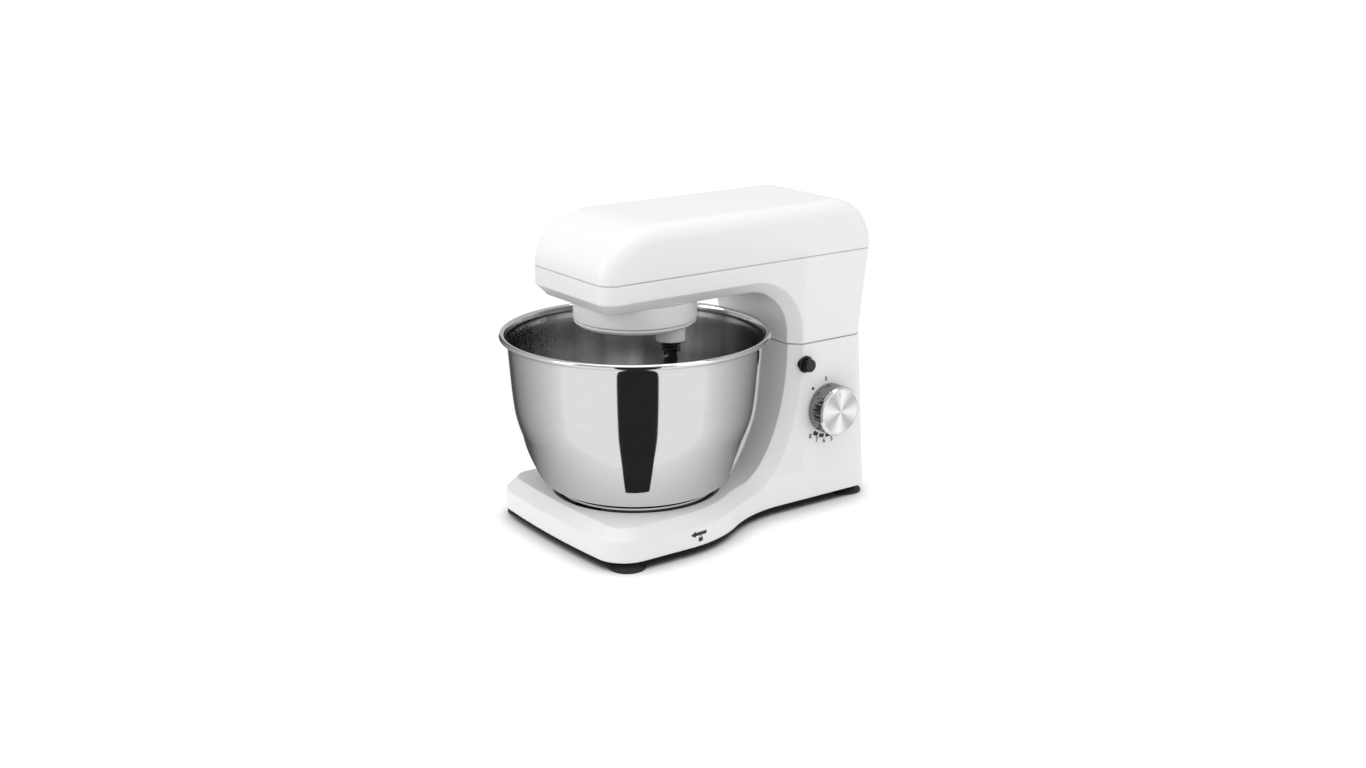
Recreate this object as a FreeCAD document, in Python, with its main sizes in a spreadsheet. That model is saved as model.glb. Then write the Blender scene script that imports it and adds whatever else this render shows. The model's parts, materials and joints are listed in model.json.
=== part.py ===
import FreeCAD, Part
import math
import os
import re
import Sketcher
from FreeCAD import Placement, Rotation, Vector

# Tilt-head stand mixer. Millimetres, floor at z = 0, nose towards -Y, speed dial on +X.
doc = FreeCAD.newDocument("stand_mixer")
sheet = doc.addObject("Spreadsheet::Sheet", "sizes")

# Lengths called reach run back along Y from the bowl axis.
SIZES = [
    # bowl, its profile given as how far each height lies inside the rim
    ("bowl_axis_y", -52.25),
    ("rim_radius", 118),
    ("rim_top_z", 177.5),
    ("rim_bead_radius", 2.4),
    ("bowl_sheet", 1.0),
    ("bowl_floor_z", 38),
    ("bowl_floor_radius", 66),
    ("heel_out", 15.2),
    ("heel_z", 45),
    ("belly_inset", 28.5),
    ("belly_z", 58),
    ("waist_inset", 19),
    ("waist_z", 81),
    ("side_inset", 12.3),
    ("side_z", 103),
    ("chest_inset", 9.3),
    ("chest_z", 125),
    ("collar_inset", 6.3),
    ("collar_z", 165),
    ("mouth_inset", 4),
    # head casing
    ("wall", 2.6),
    ("head_half", 60),
    ("nose_reach", 69.5),
    ("nose_run", 57),
    ("head_top_z", 280),
    ("nose_start_z", 236),
    ("rear_reach", 222.5),
    ("rear_round", 43),
    ("underside_z", 208),
    ("shaft_opening_radius", 15),
    ("cover_split_z", 234),
    ("seam", 0.4),
    ("tongue_tall", 2.5),
    ("tongue_gap", 0.15),
    ("edge_round", 14),
    ("bevel", 10),
    ("column_split_z", 155.5),
    ("split_gap", 0.7),
    ("column_reach", 129),
    ("column_rear_reach", 212),
    ("arch_run", 44),
    ("arch_rise", 43),
    # base casing
    ("base_bottom_z", 8.6),
    ("platform_z", 36),
    ("front_reach", 91),
    ("front_bow_radius", 900),
    ("base_half", 98),
    ("base_corner", 28),
    ("neck_half", 61),
    ("neck_start_reach", -10),
    ("neck_end_reach", 112),
    ("base_rear_reach", 222.3),
    ("base_rear_corner", 14),
    ("foot_curve_reach", 73),
    # bottom plate and its screws
    ("plate_thick", 2.6),
    ("plate_lift", 1),
    ("plate_clearance", 0.5),
    ("screw_radius", 1.6),
    ("screw_clearance", 0.4),
    ("screw_head_radius", 3.2),
    ("screw_head_drop", 1.2),
    ("screw_length", 14),
    ("screw_hole_deep", 14),
    ("screw_boss_radius", 6.8),
    ("screw_boss_tall", 21),
    ("screw_boss_inset", 0.5),
    ("front_screw_inset", 40),
    ("front_screw_reach", -80),
    ("rear_screw_inset", 9),
    ("rear_screw_reach", 125),
    # feet
    ("foot_radius", 15.5),
    ("foot_rim", 4),
    ("foot_rim_tall", 1.6),
    ("foot_hollow", 3.2),
    ("foot_neck_inset", 7),
    ("foot_neck_tall", 2.5),
    ("foot_stem_radius", 6),
    ("foot_stem_tall", 4),
    ("front_foot_inset", 14.5),
    ("front_foot_reach", -66.5),
    ("rear_foot_inset", 17),
    ("rear_foot_reach", 207),
    # bowl seat and bowl foot
    ("seat_radius", 74.6),
    ("seat_floor_z", 29),
    ("seat_clearance", 0.2),
    ("seat_lip_radius", 70.4),
    ("seat_lip", 2),
    ("seat_lip_z", 32),
    ("seat_top_z", 34.5),
    ("bowl_foot_radius", 69.6),
    ("bowl_foot_sheet", 1.2),
    ("bowl_foot_flange", 9),
    ("bowl_foot_lift", 0.3),
    ("lug_reach", 71.6),
    ("lug_half", 13),
    ("lug_thick", 1.6),
    ("lug_lift", 0.4),
    ("lug_angle", 20),
    ("lug_entry_half", 15),
    ("lug_entry_gap", 0.5),
    ("unlock_turn", 27),
    # hinge
    ("hinge_radius", 7),
    ("pin_radius", 3),
    ("knuckle_inner_x", 30),
    ("knuckle_outer_x", 44),
    ("knuckle_gap", 0.5),
    ("knuckle_room", 0.6),
    # planetary drive
    ("drum_radius", 53.5),
    ("drum_wall", 2.6),
    ("drum_bottom_z", 190),
    ("drum_hole_gap", 0.4),
    ("disc_bottom_z", 185),
    ("disc_gap", 0.5),
    ("disc_side_gap", 0.4),
    ("disc_bevel", 3),
    ("disc_bevel_tall", 2.4),
    ("disc_hub_radius", 12),
    ("disc_hub_tall", 8),
    ("boss_radius", 12.8),
    ("boss_bottom_z", 171),
    ("boss_sink", 2),
    ("spindle_offset", 32),
    ("spindle_angle", 38),
    ("spindle_radius", 6),
    ("spindle_end_z", 146.5),
    ("spindle_bevel", 1.5),
    ("spindle_stand", 13),
    ("cross_pin_z", 158.5),
    ("cross_pin_length", 24),
    ("cross_pin_radius", 2.2),
    ("cross_pin_angle", 21),
    ("wire_radius", 0.9),
    ("coil_clearance", 1.0),
    ("coil_low_gap", 0.3),
    ("coil_high_gap", 0.1),
    ("coil_turns", 2.5),
    ("washer_gap", 0.2),
    ("washer_thick", 0.4),
    ("washer_width", 3),
    ("ring_module", 1.6),
    ("ring_teeth", 56),
    ("ring_lift", 3),
    ("ring_tall", 10),
    ("planet_teeth", 16),
    ("planet_lift", 3.2),
    ("planet_tall", 9.6),
    ("main_module", 1.5),
    ("main_teeth", 48),
    ("counter_teeth", 12),
    ("centre_slack", 0.1),
    ("backlash", 0.9),
    ("main_shaft_radius", 6),
    ("main_shaft_stand", 3),
    ("counter_shaft_radius", 4),
    ("running_fit", 0.05),
    # gearbox frame, pulleys and belt
    ("frame_z", 213),
    ("frame_thick", 4),
    ("frame_half", 46),
    ("frame_front_reach", -44),
    ("frame_rear_reach", 62),
    ("frame_boss_radius", 12),
    ("frame_boss_lift", 0.2),
    ("frame_leg_radius", 5),
    ("frame_leg_x", 36),
    ("frame_leg_front_reach", -36),
    ("frame_leg_rear_reach", 52),
    ("counter_boss_radius", 8),
    ("counter_boss_tall", 8),
    ("gear_z", 223),
    ("gear_thick", 9),
    ("pulley_z", 238),
    ("pulley_thick", 9),
    ("pulley_radius", 40),
    ("pulley_rim", 6),
    ("pulley_web", 3),
    ("pulley_hub_radius", 9),
    ("belt_thick", 1.6),
    ("belt_gap", 0.3),
    ("belt_inset", 0.8),
    # motor
    ("motor_reach", 168),
    ("motor_pulley_radius", 7),
    ("motor_sheet", 3),
    ("motor_front_reach", 133.5),
    ("motor_plate_z", 225),
    ("motor_plate_rear_reach", 205),
    ("motor_plate_gap", 3),
    ("motor_end_z", 171),
    ("motor_end_half", 50),
    ("motor_end_rear_reach", 191),
    ("post_x", 44),
    ("post_front_reach", 154),
    ("post_rear_reach", 185),
    ("post_radius", 3.5),
    ("post_seat_radius", 4.5),
    ("post_seat_tall", 6),
    ("post_seat_sink", 1),
    ("stator_half", 29),
    ("stator_low_z", 186),
    ("stator_tall", 28),
    ("winding_inner", 20),
    ("winding_outer", 28),
    ("winding_tall", 7),
    ("rotor_radius", 16.5),
    ("air_gap", 0.6),
    ("rotor_shaft_radius", 3.5),
    ("commutator_radius", 9.4),
    ("commutator_gap", 1),
    ("brush_gap", 0.4),
    ("brush_long", 9),
    ("brush_half", 3),
    ("brush_lift", 3),
    ("fan_radius", 24),
    ("fan_gap", 1),
    ("fan_thick", 3),
    # speed dial, switch and board
    ("dial_reach", 169.5),
    ("dial_z", 92),
    ("dial_radius", 22.8),
    ("dial_depth", 18.4),
    ("dial_gap", 0.5),
    ("dial_bevel", 1.6),
    ("dial_rim", 3),
    ("face_sink", 0.2),
    ("face_thick", 0.8),
    ("dial_shaft_radius", 3),
    ("dial_shaft_inside", 16),
    ("dial_hole_radius", 5),
    ("switch_radius", 13),
    ("switch_deep", 18),
    ("board_inside", 28.4),
    ("board_thick", 1.6),
    ("board_front_reach", 140),
    ("board_rear_reach", 200),
    ("board_low_z", 48),
    ("board_high_z", 102),
    ("board_post_radius", 3),
    ("board_post_inset", 4),
    ("sink_deep", 16),
    ("sink_front_reach", 150),
    ("sink_long", 20),
    ("sink_low_z", 60),
    ("sink_tall", 36),
    ("capacitor_deep", 12),
    ("capacitor_front_reach", 176),
    ("capacitor_long", 18),
    ("capacitor_low_z", 62),
    ("capacitor_tall", 22),
    # release button and latch
    ("button_reach", 142),
    ("button_z", 137),
    ("button_radius", 6),
    ("button_out", 8.4),
    ("button_waist", 1.6),
    ("button_bevel", 1.6),
    ("button_cap", 5),
    ("button_flare", 3),
    ("button_stem_inside", 6),
    ("button_rod_radius", 3),
    ("button_latch_gap", 0.4),
    ("button_hole_gap", 0.5),
    ("bezel_gap", 0.3),
    ("bezel_radius", 7.7),
    ("bezel_thick", 2.2),
    ("bezel_bevel", 1),
    ("latch_pivot_x", 34),
    ("latch_pivot_z", 114),
    ("latch_pin_radius", 2),
    ("lever_half", 3),
    ("lever_thick", 4),
    ("lever_tail", 4),
    ("hook_rise", 11),
    ("hook_out", 7),
    ("hook_deep", 4),
    ("latch_slot_inner", 19),
    ("latch_slot_outer", 7.4),
    ("latch_slot_half", 7),
    ("ear_thick", 3),
    ("ear_half", 6),
    ("ear_gap", 1),
    ("ear_bevel_gap", 4.6),
    ("catch_gap", 0.6),
    ("catch_far", 14),
    ("catch_half", 5),
    ("catch_rise", 7),
    # cord inlet
    ("gland_x", -28),
    ("gland_z", 30),
    ("cord_radius", 3.75),
    ("gland_wall", 2.6),
    ("gland_flange", 5.4),
    ("gland_inside", 14),
    ("gland_outside", 1),
    ("gland_sink", 0.8),
]
for row, (alias, number) in enumerate(SIZES, 1):
    sheet.set("A%d" % row, alias)
    sheet.set("B%d" % row, str(number))
    sheet.setAlias("B%d" % row, alias)
doc.recompute()

TURN = {
    "Z": Rotation(),
    "X": Rotation(Vector(0, 1, 0), 90),
    "Y": Rotation(Vector(1, 0, 0), -90),
}
BOWL_AXIS = ("0", "bowl_axis_y", "0")
ORIGIN = ("0", "0", "0")
HINGE_Y = "bowl_axis_y + column_rear_reach - hinge_radius"
HINGE_Z = "column_split_z + hinge_radius + split_gap / 2"
LUGS = 3
# farther than any piece reaches, and the distance at which two shapes count as touching
FAR = 400
TOUCH = 1e-4
UP = Vector(0, 0, 1)
nodes = []


def bound(expression):
    """Write each size name as a reference to the sheet."""
    return re.sub(r"[a-z]\w*", lambda word: "sizes." + word.group(), expression)


def value(expression):
    return float(sheet.evalExpression(bound(expression)))


def reach(expression):
    """Y of a length measured back from the bowl axis."""
    return value("bowl_axis_y + " + expression)


def keep(label, item):
    """Give a finished piece its name and list it for writing out."""
    item.Label = label
    nodes.append(item)
    return item


def place(item, at, axis="Z"):
    item.Placement = Placement(Vector(), TURN[axis])
    for letter, expression in zip("xyz", at):
        item.setExpression("Placement.Base." + letter, bound(expression))


def outline(sketch, points):
    """Closed outline of straight lines, each corner held by two bound distances."""
    count = len(points)
    spots = [Vector(value(a), value(b), 0) for a, b in points]
    for i in range(count):
        sketch.addGeometry(Part.LineSegment(spots[i], spots[(i + 1) % count]))
    for i in range(count):
        sketch.addConstraint(Sketcher.Constraint("Coincident", i, 2, (i + 1) % count, 1))
    for i, (across, up) in enumerate(points):
        for kind, expression in (("DistanceX", across), ("DistanceY", up)):
            start = value(expression)
            number = sketch.addConstraint(Sketcher.Constraint(kind, -1, 1, i, 1, start))
            sketch.setExpression("Constraints[%d]" % number, bound(expression))


def sketch_in(body, role, points):
    sketch = body.newObject("Sketcher::SketchObject", body.Name + "_outline")
    plane = [item for item in body.Origin.OriginFeatures if item.Role == role][0]
    sketch.AttachmentSupport = [(plane, "")]
    sketch.MapMode = "FlatFace"
    outline(sketch, points)
    return sketch


def turned(name, points, at=BOWL_AXIS, axis="Z"):
    """Body turned about its own axis from (radius, height) corners."""
    body = doc.addObject("PartDesign::Body", name)
    sketch = sketch_in(body, "XZ_Plane", points)
    feature = body.newObject("PartDesign::Revolution", name + "_turn")
    feature.Profile = sketch
    feature.ReferenceAxis = (sketch, ["V_Axis"])
    feature.Angle = 360
    place(body, at, axis)
    return body


def ring(name, inner, outer, low, high, at=BOWL_AXIS, axis="Z"):
    corners = [(inner, low), (outer, low), (outer, high), (inner, high)]
    return turned(name, corners, at, axis)


def padded(name, points, thick):
    """Body padded along its own Z from straight-sided corners."""
    body = doc.addObject("PartDesign::Body", name)
    sketch = sketch_in(body, "XY_Plane", points)
    feature = body.newObject("PartDesign::Pad", name + "_pad")
    feature.Profile = sketch
    feature.setExpression("Length", bound(thick))
    return body


def block(name, low, high):
    """Box between two corners."""
    item = doc.addObject("Part::Box", name)
    for side, a, b in zip(("Length", "Width", "Height"), low, high):
        item.setExpression(side, bound("(%s) - (%s)" % (b, a)))
    place(item, low)
    return item


def rod(name, radius, length, at, axis="Z"):
    item = doc.addObject("Part::Cylinder", name)
    item.setExpression("Radius", bound(radius))
    item.setExpression("Height", bound(length))
    place(item, at, axis)
    return item


def fused(name, items):
    joined = doc.addObject("Part::MultiFuse", name)
    joined.Shapes = items
    joined.Refine = True
    return joined


def cut(name, base, tools):
    result = doc.addObject("Part::Cut", name)
    result.Base = base
    result.Tool = tools[0] if len(tools) == 1 else fused(name + "_tools", tools)
    result.Refine = True
    return result


def shaped(name, shape):
    item = doc.addObject("Part::Feature", name)
    item.Shape = shape
    return item


def group(name, item, spots):
    """The same piece at several places, kept together as one node."""
    doc.recompute()
    copies = [item.Shape.translated(Vector(*spot)) for spot in spots]
    return shaped(name, Part.makeCompound(copies))


def straight(a, b):
    return Part.LineSegment(Vector(*a), Vector(*b)).toShape()


def quarter(start, corner, end):
    """Quarter of an ellipse between two directions that meet at the corner."""
    start, corner, end = Vector(*start), Vector(*corner), Vector(*end)
    pull = 4 * (math.sqrt(2) - 1) / 3
    curve = Part.BezierCurve()
    curve.setPoles([start, start + (corner - start) * pull, end + (corner - end) * pull, end])
    return curve.toShape()


def side_solid(edges, half):
    """Side profile in the YZ plane made into a solid of the given half width."""
    face = Part.Face(Part.Wire(edges))
    face.translate(Vector(-half, 0, 0))
    return face.extrude(Vector(2 * half, 0, 0))


def middle(edge):
    return edge.valueAt((edge.FirstParameter + edge.LastParameter) / 2)


def on_shape(edge, shape):
    return shape.distToShape(Part.Vertex(middle(edge)))[0] < TOUCH


def both_sides(edges, half):
    """Sheet swept from the edges towards +X, with its mirror image."""
    sheets = Part.makeCompound([edge.extrude(Vector(half, 0, 0)) for edge in edges])
    return Part.makeCompound([sheets, sheets.mirror(Vector(), Vector(1, 0, 0))])


def bevel_size(inset):
    """Bevel of a casing drawn in by the inset, so that the wall stays even."""
    return value("bevel") - (2 - math.sqrt(2)) * inset


def upright_box(x_low, x_high, y_low, y_high, z_low, z_high):
    low = Vector(x_low, y_low, z_low)
    return Part.makeBox(x_high - x_low, y_high - y_low, z_high - z_low, low)


def layer(z_low, z_high):
    """Everything between two heights."""
    return upright_box(-FAR, FAR, -FAR, FAR, z_low, z_high)


def head_solid(inset):
    """Whole head with its rear column, drawn in from the outside by the inset."""
    half = value("head_half") - inset
    nose = reach("0 - nose_reach") + inset
    nose_end = reach("nose_run - nose_reach")
    top = value("head_top_z") - inset
    low = value("underside_z") + inset
    start = value("nose_start_z")
    rear = reach("rear_reach") - inset
    rear_start = reach("rear_reach - rear_round")
    rear_z = value("head_top_z - rear_round")
    round_radius = value("hinge_radius") - inset
    column = reach("column_reach") + inset
    arch_y = reach("column_reach - arch_run")
    arch_z = value("underside_z - arch_rise")
    lowest = value(HINGE_Z) - round_radius
    rear_foot = value(HINGE_Y) + round_radius
    edges = [
        straight((0, nose, low), (0, nose, start)),
        quarter((0, nose, start), (0, nose, top), (0, nose_end, top)),
        straight((0, nose_end, top), (0, rear_start, top)),
        quarter((0, rear_start, top), (0, rear, top), (0, rear, rear_z)),
        straight((0, rear, rear_z), (0, rear_foot, lowest)),
        straight((0, rear_foot, lowest), (0, column, lowest)),
        straight((0, column, lowest), (0, column, arch_z)),
        quarter((0, column, arch_z), (0, column, low), (0, arch_y, low)),
        straight((0, arch_y, low), (0, nose, low)),
    ]
    solid = side_solid(edges, half)
    flanks = [face for face in solid.Faces if abs(abs(face.CenterOfMass.x) - half) < TOUCH]
    sides = Part.makeCompound(flanks)
    upper = both_sides(edges[:5], half)
    picked = [edge for edge in solid.Edges if on_shape(edge, sides) and on_shape(edge, upper)]
    solid = solid.makeFillet(value("edge_round") - inset, picked)
    beneath = []
    for edge in solid.Edges:
        spot = middle(edge)
        box = edge.BoundBox
        at_side = abs(abs(spot.x) - half) < TOUCH
        flat = abs(box.ZMin - low) < TOUCH and abs(box.ZMax - low) < TOUCH
        crossing = abs(spot.x) < TOUCH and spot.y > nose + 1
        arch = at_side and arch_y < spot.y < column - TOUCH and arch_z < spot.z < low
        post = at_side and abs(spot.y - column) < TOUCH and spot.z < low
        if (flat and not crossing) or arch or post:
            beneath.append(edge)
    return solid.makeChamfer(bevel_size(inset), beneath)


def base_plan(inset, rear_extra=0):
    """Outline of the base seen from above, a broad front tapering to the column."""
    half = value("base_half") - inset
    front = reach("0 - front_reach") + inset
    bow = value("front_bow_radius") - inset
    corner = value("base_corner") - inset
    neck = value("neck_half") - inset
    start = reach("neck_start_reach")
    end = reach("neck_end_reach")
    rear = reach("base_rear_reach") - inset + rear_extra
    rear_corner = value("base_rear_corner") - inset
    # the front corner circle touches both the bowed front and the straight side
    lean = math.asin((half - corner) / (bow - corner))
    corner_x = half - corner
    corner_y = front + bow - (bow - corner) * math.cos(lean)
    meet = (bow * math.sin(lean), front + bow - bow * math.cos(lean))
    between = (math.pi / 2 - lean) / 2
    corner_middle = (corner_x + corner * math.cos(between), corner_y - corner * math.sin(between))
    turn = ((half + neck) / 2, (start + end) / 2)
    sag = (half - neck) / 8
    step = (end - start) / 4
    rear_x = neck - rear_corner
    rear_y = rear - rear_corner
    slant = rear_corner * math.sqrt(0.5)

    def arc(side, a, b, c):
        spots = [Vector(side * x, y, 0) for x, y in (a, b, c)]
        return Part.Arc(*spots).toShape()

    edges = [
        arc(1, (-meet[0], meet[1]), (0, front), meet),
        straight((-rear_x, rear, 0), (rear_x, rear, 0)),
    ]
    for side in (1, -1):
        edges += [
            arc(side, meet, corner_middle, (half, corner_y)),
            straight((side * half, corner_y, 0), (side * half, start, 0)),
            arc(side, (half, start), (half - sag, start + step), turn),
            arc(side, turn, (neck + sag, end - step), (neck, end)),
            straight((side * neck, end, 0), (side * neck, rear_y, 0)),
            arc(side, (neck, rear_y), (rear_x + slant, rear_y + slant), (rear_x, rear)),
        ]
    return Part.Wire(Part.__sortEdges__(edges))


def base_solid(inset, low, top):
    """Base and column, drawn in from the outside by the inset."""
    platform = value("platform_z") - inset
    column = reach("column_reach") + inset
    curve = reach("foot_curve_reach")
    curve_top = top - value("split_gap")
    front = -FAR
    rear_top = reach("column_rear_reach") - inset
    rear_low = reach("base_rear_reach") - inset
    plan = base_plan(inset, 2 * value("base_rear_corner"))
    plan.translate(Vector(0, 0, low))
    tall = Part.Face(plan).extrude(Vector(0, 0, top - low))
    upper = [
        straight((0, front, platform), (0, curve, platform)),
        quarter((0, curve, platform), (0, column, platform), (0, column, curve_top)),
        straight((0, column, curve_top), (0, column, top)),
    ]
    edges = upper + [
        straight((0, column, top), (0, rear_top, top)),
        straight((0, rear_top, top), (0, rear_low, low)),
        straight((0, rear_low, low), (0, front, low)),
        straight((0, front, low), (0, front, platform)),
    ]
    solid = tall.common(side_solid(edges, FAR))
    half = value("neck_half") - inset
    rear_edges = []
    for edge in solid.Edges:
        spot = middle(edge)
        rising = abs(edge.tangentAt(edge.FirstParameter).z) > 0.5
        if abs(abs(spot.x) - half) < TOUCH and spot.y > rear_top and rising:
            rear_edges.append(edge)
    solid = solid.makeFillet(value("base_rear_corner") - inset, rear_edges)
    walls = Part.makeCompound([edge.extrude(Vector(0, 0, top - low)) for edge in plan.Edges])
    crown = both_sides(upper, FAR)
    picked = []
    for edge in solid.Edges:
        if on_shape(edge, walls) and on_shape(edge, crown) and middle(edge).z < top - TOUCH:
            picked.append(edge)
    return solid.makeChamfer(bevel_size(inset), picked)


def gear_face(teeth, module, bore, inside=False):
    """Straight-flanked stub teeth thinned by the backlash; a ring gear when inside."""
    pitch = teeth * module / 2
    tall = 0.75 * module
    deep = 1.15 * module
    lean = math.tan(math.radians(24))
    thick = math.pi * module / 2 - value("backlash") / 2
    tip, root = pitch + tall, pitch - deep
    if inside:
        tip, root = pitch - tall, pitch + deep
    half_tip = (thick / 2 - tall * lean) / tip
    half_root = (thick / 2 + deep * lean) / root
    corners = [(root, -half_root), (tip, -half_tip), (tip, half_tip), (root, half_root)]
    spots = []
    for i in range(teeth):
        centre = 2 * math.pi * i / teeth
        for radius, angle in corners:
            swing = centre + angle
            spots.append(Vector(radius * math.cos(swing), radius * math.sin(swing), 0))
    toothed = Part.Face(Part.makePolygon(spots + spots[:1]))
    round_face = Part.Face(Part.Wire(Part.makeCircle(bore)))
    if inside:
        return round_face.cut(toothed)
    return toothed.cut(round_face)


def gear(name, teeth, module, bore, low, thick, at_x, at_y, spin=0, inside=False):
    face = gear_face(int(value(teeth)), value(module), value(bore), inside)
    item = shaped(name, face.extrude(Vector(0, 0, value(thick))))
    item.Placement = Placement(Vector(at_x, at_y, value(low)), Rotation(UP, spin))
    return item


# Casing of the head: top cover and lower shell share one cavity.
wall = value("wall")
axis_at = Vector(0, reach("0"), 0)
axis_y = value(HINGE_Y)
axis_z = value(HINGE_Z)
hinge_round = value("hinge_radius")
pin = value("pin_radius")
slack = value("running_fit")
inner_x = value("knuckle_inner_x")
outer_x = value("knuckle_outer_x")
split_low = value("cover_split_z - seam / 2")
split_high = value("cover_split_z + seam / 2")
column_top = value("column_split_z - split_gap / 2")


def bar(radius, low, high):
    """Cylinder along the hinge axis."""
    return Part.makeCylinder(radius, high - low, Vector(low, axis_y, axis_z), Vector(1, 0, 0))


head_outer = head_solid(0)
hinge_corner = upright_box(-FAR, FAR, axis_y, FAR, 0, axis_z)
head_outer = head_outer.cut(hinge_corner.cut(bar(hinge_round, -FAR, FAR)))
# the cavity stays clear of the solid bar that the hinge pin runs through
hinge_top = axis_z + hinge_round + wall
before_hinge = upright_box(-FAR, FAR, -FAR, axis_y - hinge_round - wall, 0, hinge_top)
head_inner = head_solid(wall).common(before_hinge.fuse(layer(hinge_top, FAR)))
# a tongue on the lower shell closes the seam and runs in a groove of the cover
tongue_layer = layer(split_low, split_high + value("tongue_tall"))
groove_layer = tongue_layer.translated(Vector(0, 0, value("tongue_gap")))
tongue = head_solid(wall / 2 + value("tongue_gap")).cut(head_inner).common(tongue_layer)
groove = head_solid(wall / 2).cut(head_inner).common(groove_layer)
cover = head_outer.common(layer(split_high, FAR)).cut(head_inner).cut(groove)
keep("head_top_cover", shaped("cover", cover))

lower = head_outer.common(layer(0, split_low)).cut(head_inner).fuse(tongue)
opening_at = axis_at + Vector(0, 0, value("underside_z") - wall)
lower = lower.cut(Part.makeCylinder(value("shaft_opening_radius"), 3 * wall, opening_at))
knuckle_gap = value("knuckle_gap")
room = hinge_round + value("knuckle_room")
for side in (1, -1):
    low_x, high_x = sorted((side * (inner_x - knuckle_gap), side * (outer_x + knuckle_gap)))
    slot = upright_box(low_x, high_x, axis_y - room, FAR, 0, axis_z)
    lower = lower.cut(slot.fuse(bar(room, low_x, high_x)))
lower = lower.cut(bar(pin + slack, -outer_x - knuckle_gap, outer_x + knuckle_gap))
latch_y = reach("button_reach")
pivot_x = value("latch_pivot_x")
pivot_z = value("latch_pivot_z")
slot_half = value("latch_slot_half")
slot_inner = pivot_x - value("latch_slot_inner")
slot_outer = pivot_x + value("latch_slot_outer")
latch_slot = upright_box(slot_inner, slot_outer, latch_y - slot_half, latch_y + slot_half, pivot_z, axis_z)
lower = lower.cut(latch_slot)
post_spots = []
for x in (-value("post_x"), value("post_x")):
    for y in (reach("post_front_reach"), reach("post_rear_reach")):
        post_spots.append((x, y))
post_seat_z = axis_z - hinge_round + value("post_seat_sink")
for x, y in post_spots:
    at = Vector(x, y, post_seat_z)
    lower = lower.fuse(Part.makeCylinder(value("post_seat_radius"), value("post_seat_tall"), at))
keep("head_lower_shell", shaped("lower", lower.removeSplitter()))

# Casing of the base: hollow column and platform with the bowl seat sunk in its top.
base_low = value("base_bottom_z")
platform_z = value("platform_z")
seat_r = value("seat_radius")
seat_z = value("seat_floor_z")
base = base_solid(0, base_low, column_top)
base = base.cut(base_solid(wall, base_low - value("plate_lift"), column_top - wall))
cup_at = axis_at + Vector(0, 0, seat_z - wall)
cup = Part.makeCylinder(seat_r + wall, platform_z - seat_z + wall, cup_at)
base = base.fuse(cup.common(base_solid(wall / 2, base_low, column_top)))
base = base.cut(Part.makeCylinder(seat_r, 2 * platform_z, axis_at + Vector(0, 0, seat_z)))
for side in (1, -1):
    low_x, high_x = sorted((side * inner_x, side * outer_x))
    stalk = upright_box(low_x, high_x, axis_y - hinge_round, axis_y + hinge_round - 1,
                        column_top - wall, axis_z)
    base = base.fuse(stalk.fuse(bar(hinge_round, low_x, high_x)))
base = base.cut(bar(pin, -FAR, FAR))
base = base.cut(latch_slot)
plate_low = base_low + value("plate_lift")
plate_top = plate_low + value("plate_thick")
screw_r = value("screw_radius")
screw_spots = []
for side in (1, -1):
    screw_spots.append((side * value("base_half - front_screw_inset"), reach("front_screw_reach")))
    screw_spots.append((side * value("neck_half - rear_screw_inset"), reach("rear_screw_reach")))
boss_limit = base_solid(value("screw_boss_inset"), base_low, column_top)
for x, y in screw_spots:
    at = Vector(x, y, plate_top)
    post = Part.makeCylinder(value("screw_boss_radius"), value("screw_boss_tall"), at)
    base = base.fuse(post.common(boss_limit))
    base = base.cut(Part.makeCylinder(screw_r, value("screw_hole_deep"), at))
side_x = value("neck_half")
through = 4 * wall
dial_at = Vector(side_x - through, reach("dial_reach"), value("dial_z"))
base = base.cut(Part.makeCylinder(value("dial_hole_radius"), 2 * through, dial_at, Vector(1, 0, 0)))
button_hole = value("button_radius + button_hole_gap")
button_at = Vector(side_x - through, latch_y, value("button_z"))
base = base.cut(Part.makeCylinder(button_hole, 2 * through, button_at, Vector(1, 0, 0)))
gland_hole = value("cord_radius + gland_wall + running_fit")
gland_at = Vector(value("gland_x"), reach("base_rear_reach") - through, value("gland_z"))
base = base.cut(Part.makeCylinder(gland_hole, 2 * through, gland_at, Vector(0, 1, 0)))
keep("base_shell", shaped("base", base.removeSplitter()))

# Bottom plate, its screws and the four suction feet.
plan = base_plan(wall + value("plate_clearance"))
plan.translate(Vector(0, 0, plate_low))
plate = Part.Face(plan).extrude(Vector(0, 0, value("plate_thick")))
foot_spots = []
for side in (1, -1):
    foot_spots.append((side * value("base_half - front_foot_inset"), reach("front_foot_reach"), 0))
    foot_spots.append((side * value("neck_half - rear_foot_inset"), reach("rear_foot_reach"), 0))
for spot in foot_spots:
    plate = plate.cut(Part.makeCylinder(value("foot_stem_radius"), plate_top, Vector(*spot)))
for x, y in screw_spots:
    hole = Part.makeCylinder(screw_r + value("screw_clearance"), plate_top, Vector(x, y, 0))
    plate = plate.cut(hole)
keep("bottom_plate", shaped("plate", plate))
screw = turned("plate_screw", [
    ("0", "base_bottom_z - screw_head_drop"),
    ("screw_head_radius", "base_bottom_z - screw_head_drop"),
    ("screw_head_radius", "base_bottom_z + plate_lift"),
    ("screw_radius", "base_bottom_z + plate_lift"),
    ("screw_radius", "base_bottom_z + screw_length"),
    ("0", "base_bottom_z + screw_length"),
], ORIGIN)
keep("plate_screws", group("plate_screw_set", screw, [(x, y, 0) for x, y in screw_spots]))
neck_radius = "foot_radius - foot_neck_inset"
stem_top = "base_bottom_z + plate_lift + foot_stem_tall"
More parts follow.
